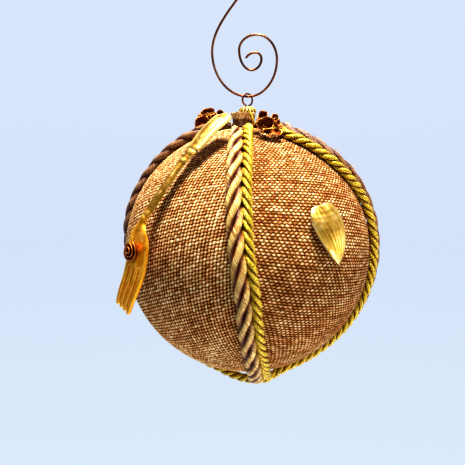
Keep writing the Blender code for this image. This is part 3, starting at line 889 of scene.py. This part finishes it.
def twistCordEnd(end):
    reach = collarShape["radius"] + gap + end["diameter"] / 2
    tall = collarTall + gap
    line = []
    for share in np.linspace(0, 1, 60):
        turn = radians(end["azimuth"] + end["sweep"] * share)
        z = collarHigh.z - tall * (0.02 + 0.8 * share)
        line.append((collarShift + reach * sin(turn), -reach * cos(turn), z))
    line = np.array(line)
    heading = alongPath(line)
    out = unit(np.column_stack((line[:, 0] - collarShift, line[:, 1], np.zeros(len(line)))))
    across = np.cross(heading, out)
    paths = []
    for ply in range(3):
        turn = 2 * pi * (ply / 3 + np.arange(60) / 24)
        offset = (end["diameter"] - end["ply"]) / 2
        paths.append(line + offset * (out * np.cos(turn)[:, None] + across * np.sin(turn)[:, None]))
    return paths


endMesh = tubeMesh("cord_end_plies", twistCordEnd(cordEnd), cordEnd["ply"], sides=2)
writeUv(endMesh, "lobe", np.ones((len(endMesh.vertices), 2)))
addPiece("cord_end_plies", endMesh, goldThread, "gold_cord", "cord_end")
print("hook, cap and collar made")


# Fork

forkShape = {
    "thickness": 0.0011, "softEdge": 0.00025,
    "rim": 0.00045, "boss": 0.00060, "crown": 0.0009, "beads": 0.00018, "ridge": 0.00032, "leaf": 0.00035,
    # millimetres from the handle's end
    "ridges": (18.2, 20.4, 24.4, 46.5, 48.6), "headEnds": 20, "bossAt": 9.0, "leafFrom": 49, "leafTo": 62,
    "slotStart": -0.5, "crownAbove": 12,  # latitudes
    "line": [  # azimuth, latitude, height over the ball and width, down to the tines' tips
        (-19.5, 65.6, 0.0068, 0.0058), (-22.5, 61.5, 0.0062, 0.0066), (-28, 54.9, 0.0046, 0.0060),
        (-31, 48.5, 0.0034, 0.0048), (-34, 42.7, 0.0028, 0.0025), (-38.6, 30.4, 0.0024, 0.0022),
        (-43, 19, 0.0030, 0.0025), (-44.6, 15, 0.0034, 0.0024), (-45.0, 11, 0.0040, 0.0075),
        (-43.0, 6.5, 0.0050, 0.0112), (-42.0, 0.5, 0.0062, 0.0104), (-43.6, -6, 0.0076, 0.0092),
        (-46.0, -11.0, 0.0090, 0.0084), (-48.4, -15.3, 0.0100, 0.0078),
    ],
    "edges": (-1, -0.62, -0.44, -0.09, 0.09, 0.44, 0.62, 1),  # of tines and slots by turns
}


# 1 at a place, curving down to 0 at its reach
def hump(value, place, reach):
    return max(0, 1 - ((value - place) / reach) ** 2)


def bendFork(fork):
    rows = []
    for azimuth, latitude, height, width in fork["line"]:
        rows.append([*(direction(azimuth, latitude) * (ballRadius + height)), width])
    count, spans = 170, 4
    wide = 7 * spans
    line = smoothRows(rows, count + 1)
    middle, width = line[:, :3], line[:, 3]
    heading = alongPath(middle)
    across = unit(np.cross(heading, middle))
    out = unit(np.cross(across, heading))
    travelled = travel(middle) * 1000  # millimetres
    latitude = np.degrees(np.arcsin(middle[:, 2] / np.linalg.norm(middle, axis=1)))
    shape = startGrid(wide, count)
    layer = shape.loops.layers.uv.new("cast")
    opened = []
    for face in shape.faces:
        for loop in face.loops:
            loop[layer].uv = (loop.vert.co.x, travelled[round((1 - loop.vert.co.y) * count)] / 100)
        middleOfFace = face.calc_center_median()
        span = int(middleOfFace.x * 7)
        if span % 2 == 1 and latitude[int((1 - middleOfFace.y) * count)] < fork["slotStart"]:
            opened.append(face)
    for vert in shape.verts:
        column, i = round(vert.co.x * wide), round((1 - vert.co.y) * count)
        span = min(column // spans, 6)
        part = column / spans - span
        edge = fork["edges"][span] * (1 - part) + fork["edges"][span + 1] * part
        s = travelled[i]
        if latitude[i] < fork["slotStart"]:
            tine = span if span % 2 == 0 else span - 1 + 2 * round(part)
            centre = (fork["edges"][tine] + fork["edges"][tine + 1]) / 2
            sharpen = 0.2 * max(0, (s - travelled[-1] + 4) / 4) ** 2
            edge = centre + (edge - centre) * (1 - sharpen)
        rounding = sqrt(max(0.05, 1 - (1 - min(1, s / 2.0)) ** 2))
        rise = 0.0
        if latitude[i] > fork["crownAbove"]:
            rise += fork["crown"] * (1 - edge**2) * min(1, (latitude[i] - fork["crownAbove"]) / 4)
        if s < fork["headEnds"]:
            fade = min(1, s / 2) * min(1, (fork["headEnds"] - s) / 3)
            rise += fork["rim"] * hump(abs(edge), 0.80, 0.16) * fade
            rise += fork["beads"] * sin(s * 6.2) * hump(abs(edge), 0.86, 0.14)
            oval = 1 - (edge / 0.46) ** 2 - ((s - fork["bossAt"]) / 5.6) ** 2
            rise += fork["boss"] * sqrt(max(0, oval))
        rise += fork["ridge"] * sum(hump(s, ridge, 0.75) for ridge in fork["ridges"])
        if fork["leafFrom"] < s < fork["leafTo"]:
            share = (s - fork["leafFrom"]) / (fork["leafTo"] - fork["leafFrom"])
            rise += fork["leaf"] * hump(abs(edge), 0.80, 0.18) * sin(pi * share)
        place = middle[i] + across[i] * edge * rounding * width[i] / 2
        vert.co = ballCentre + Vector(place + out[i] * (fork["thickness"] / 2 + rise))
    bmesh.ops.delete(shape, geom=opened, context="FACES")
    return finishMesh("fork_cast", shape)


forkPiece = addPiece("fork_cast", bendFork(forkShape), forkGilt, "gilt_metal", "fork")
addWall(forkPiece, forkShape["thickness"], -1)
soften = forkPiece.modifiers.new("softEdges", "BEVEL")
soften.width = forkShape["softEdge"]
soften.segments = 3
soften.limit_method = "ANGLE"
soften.angle_limit = radians(50)


# Shell

shellShape = {
    "place": (35.8, 12.3), "turn": -13, "length": 0.0226, "width": 0.0142, "rise": 0.0036,
    "thickness": 0.0005, "seat": 0.0004, "leftLift": 0.0011, "ribs": 8, "bands": 0.022,
}


def surfaceFrame(azimuth, latitude, turn):
    out = direction(azimuth, latitude)
    east = Vector((0, 0, 1)).cross(out).normalized()
    north = out.cross(east)
    a = radians(turn)
    along = north * cos(a) + east * sin(a)
    return out, along, along.cross(out)


def bendShell(shell):
    out, along, across = surfaceFrame(*shell["place"], shell["turn"])
    shape = startGrid(96, 72)
    for vert in shape.verts:
        v, share = 2 * vert.co.x - 1, 0.03 + 0.95 * vert.co.y
        half = shell["width"] / 2 * (1.9 * share**0.80 * (1 - share) ** 0.30)
        base = (out * ballRadius + along * (share - 0.5) * shell["length"] + across * v * half).normalized()
        dome = sqrt(max(0, 1 - v * v)) * sin(pi * share) ** 0.6
        rib = 0.95 + 0.05 * abs(cos(pi * shell["ribs"] * v / 2)) * min(1, share * 3)
        bands = shell["bands"] * sin(share * 75 - 6 * v * v) * max(0, (share - 0.45) * 2)
        height = gap + shell["seat"] + shell["leftLift"] * max(0, -v) + shell["rise"] * dome * (rib + bands)
        vert.co = ballCentre + base * (ballRadius + height)
    return finishMesh("shell_ribbed", shape)


shellPiece = addPiece("shell_ribbed", bendShell(shellShape), shellGilt, "gilt_metal", "shell")
addWall(shellPiece, shellShape["thickness"], -1)
print("fork and shell made")


# Flowers and rosette

petalThickness = 0.00026
# each foot: azimuth, latitude and distance from the ball's centre
# each petal: its place from the flower's foot (right, up, towards the front), width, height and depth,
# all in millimetres, then the azimuth and latitude that its hollow faces, and its roll
flowers = {
    "left_flower": {
        "foot": (-104.5, 73.6, 0.0546),
        "petals": [
            (-3.4, -0.4, 2.2, 7.8, 5.2, 2.4, 10, 16, 30), (-1.4, 3.6, 0.4, 5.8, 3.6, 1.8, 4, 18, 8),
            (3.2, 3.6, 0.2, 3.2, 2.4, 1.4, 24, 14, 25), (0.6, 1.4, 1.4, 5.2, 4.4, 1.6, 15, 35, 0),
            (-2.4, 1.2, -2.4, 6.4, 5.2, 2.0, -150, 30, 12), (2.6, 1.6, -1.8, 5.4, 4.6, 1.8, 130, 30, -10),
            (-1.2, 2.2, 1.6, 2.6, 2.4, 1.2, 0, 40, 0),
        ],
    },
    "right_flower": {
        "foot": (23, 67, 0.0508),
        "petals": [
            (-0.9, 2.2, 2.2, 6.6, 5.6, 2.6, -6, 24, 14), (-1.6, 5.7, 0.3, 3.9, 3.6, 2.0, -14, 22, 14),
            (2.2, 5.2, 0.0, 3.1, 2.7, 1.5, 20, 22, -30), (1.6, -0.6, 3.0, 7.2, 4.6, 1.3, 12, 52, -8),
            (2.6, 2.8, 0.4, 4.6, 4.4, 1.9, 55, 30, 0), (-0.6, 3.0, -2.2, 6.2, 5.0, 2.0, 175, 30, 0),
            (-3.0, 3.0, -0.6, 4.8, 4.4, 1.8, -100, 30, 0), (-0.7, 2.8, 1.2, 2.6, 2.4, 1.2, 0, 20, 0),
        ],
    },
}


# one hollow petal, round with a waved rim, on a grid drawn into a disc
def addPetal(shape, foot, petal):
    right, up, towards, width, height, depth = (value / 1000 for value in petal[:6])
    azimuth, latitude, roll = petal[6:]
    facing = direction(azimuth, latitude)
    side = Vector((0, 0, 1)).cross(facing).normalized()
    rising = facing.cross(side)
    turned = Matrix.Rotation(radians(roll), 3, facing)
    side, rising = turned @ side, turned @ rising
    middle = foot + Vector((right, -towards, up))
    disc = startGrid(18, 18)
    spots = []
    for vert in disc.verts:
        a, b = 2 * vert.co.x - 1, 2 * vert.co.y - 1
        a, b = a * sqrt(1 - b * b / 2), b * sqrt(1 - a * a / 2)
        far, turn = hypot(a, b), atan2(b, a)
        spots.append((turn / (2 * pi), far))
        waved = 1 + 0.06 * sin(5 * turn + azimuth) * far
        rim = depth * far**2 * (1 + 0.18 * sin(3 * turn + width * 900))
        vert.co = middle + (side * a * width + rising * b * height) / 2 * waved + facing * rim
    mesh = finishMesh("petal", disc)
    writeUv(mesh, "petal", np.array(spots))
    shape.from_mesh(mesh)
    bpy.data.meshes.remove(mesh)


def makeFlower(node):
    azimuth, latitude, height = flowers[node]["foot"]
    foot = ballCentre + direction(azimuth, latitude) * height
    shape = bmesh.new()
    for petal in flowers[node]["petals"]:
        addPetal(shape, foot, petal)
    piece = addPiece(node + "_petals", finishMesh(node, shape), bronze, "bronze", node)
    addWall(piece, petalThickness, 0)


for node in flowers:
    makeFlower(node)

rosetteShape = {
    "place": (-44.4, 4.8), "seat": 0.0054, "radius": 0.0040, "height": 0.0030, "turns": 2.6,
    "thickness": 0.00045,
}


# a ribbon rolled into a rose, wider turns lying lower
def rollRosette(rose):
    axis = direction(*rose["place"])
    foot = ballCentre + axis * (ballRadius + rose["seat"] + forkShape["thickness"] + gap)
    start = axis.orthogonal().normalized()
    other = axis.cross(start)
    shape = startGrid(120, 10)
    for vert in shape.verts:
        share, up = vert.co.x, vert.co.y
        turn = 2 * pi * rose["turns"] * share
        far = rose["radius"] * (0.14 + 0.80 * share) * (0.80 + 0.24 * up**2)
        far *= 1 + 0.05 * cos(3 * turn)
        height = rose["height"] * (0.05 + up * (0.95 - 0.40 * share))
        vert.co = foot + (start * cos(turn) + other * sin(turn)) * far + axis * height
    return finishMesh("rosette_rolled", shape)


rosetteMesh = rollRosette(rosetteShape)
writeUv(rosetteMesh, "petal", np.zeros((len(rosetteMesh.vertices), 2)))
rosettePiece = addPiece("rosette_rolled", rosetteMesh, bronze, "bronze", "rosette")
addWall(rosettePiece, rosetteShape["thickness"], 0)
print("flowers and rosette made")


# Stage, lights and camera

stage = {
    "size": 9, "inFront": 4, "floorBelow": 0.90, "wallBehind": 1.4, "bend": 0.9,
    "floor": [(0.3, (0.01176, 0.01568, 0.0196)), (0.7, (0.012, 0.016, 0.02))], "glowStrength": 0.655,
    "glowBelow": 0.75, "glowAbove": 0.5,  # the ball's centre
    "glow": [(0.0, (0.775, 0.885, 1.0)), (0.45, (0.735, 0.82, 0.985)), (1.0, (0.765, 0.85, 1.0))],
    "sky": (1.0, 0.96, 0.90), "skyStrength": 0.20,
    "lights": [  # place from the ball, size, watts, colour
        ("keyLight", (0.03, -0.12, 0.62), 0.16, 9.8, (1.0, 0.98, 0.93)),
        ("lowLight", (0.20, -0.20, -0.50), 0.35, 1.7, (1.0, 0.88, 0.78)),
        ("sideLight", (0.50, -0.10, -0.06), 0.30, 0.6, (1.0, 0.92, 0.84)),
        ("backLight", (0.10, 0.60, 0.50), 0.50, 1.6, (0.95, 0.97, 1.0)),
    ],
}
photographed = {
    "sensor": 36, "lens": 44.36, "nearest": 0.01,
    "place": (0, -0.2377, 0.0334), "facing": (-0.0254, 0.9935, -0.1107),  # place from the ball
}


# a floor that sweeps up into the wall behind
def setStage(settings):
    low = ballCentre.z - ballRadius - settings["floorBelow"]
    bend, straight = settings["bend"], settings["wallBehind"] - settings["bend"]
    shape = startGrid(1, 120)
    for vert in shape.verts:
        along = -settings["inFront"] + settings["size"] * vert.co.y - straight
        turn = max(0, min(pi / 2, along / bend))
        back = straight + min(along, 0) + bend * sin(turn)
        height = low + bend * (1 - cos(turn)) + max(0, along - bend * pi / 2)
        vert.co = ((vert.co.x - 0.5) * settings["size"], back, height)
    made, shader = startMaterial("paleBackdrop", roughness=0.9)
    mottle = addNoise(objectPlace(shader), 3.0, 2.0)
    paint(shader, ramp(mottle, settings["floor"]))
    level = addNode("SeparateXYZ", {0: objectPlace(shader)}).outputs[2]
    bottom, top = ballCentre.z - settings["glowBelow"], ballCentre.z + settings["glowAbove"]
    glow = ramp(fit(level, bottom, top), settings["glow"])
    connect(glow, shader, "Emission Color")
    shader.inputs["Emission Strength"].default_value = settings["glowStrength"]
    sweep = newObject("backdrop", finishMesh("backdrop", shape))
    sweep.data.materials.append(made)
    world = bpy.data.worlds.new("studio")
    world.use_nodes = True
    background = world.node_tree.nodes["Background"]
    background.inputs["Color"].default_value = (*settings["sky"], 1)
    background.inputs["Strength"].default_value = settings["skyStrength"]
    bpy.context.scene.world = world
    for name, place, size, watts, colour in settings["lights"]:
        lamp = bpy.data.lights.new(name, "AREA")
        lamp.size = size
        lamp.energy = watts
        lamp.color = colour
        holder = newObject(name, lamp)
        holder.location = ballCentre + Vector(place)
        holder.rotation_euler = (-Vector(place)).to_track_quat("-Z", "Y").to_euler()


def setCamera(settings):
    scene = bpy.context.scene
    scene.view_settings.view_transform = "Standard"
    scene.view_settings.look = "High Contrast"
    camera = bpy.data.cameras.new("camera")
    camera.sensor_width = settings["sensor"]
    camera.lens = settings["lens"]
    camera.clip_start = settings["nearest"]
    holder = newObject("camera", camera)
    holder.location = ballCentre + Vector(settings["place"])
    holder.rotation_euler = Vector(settings["facing"]).to_track_quat("-Z", "Y").to_euler()
    scene.camera = holder


setStage(stage)
setCamera(photographed)
print("stage set")
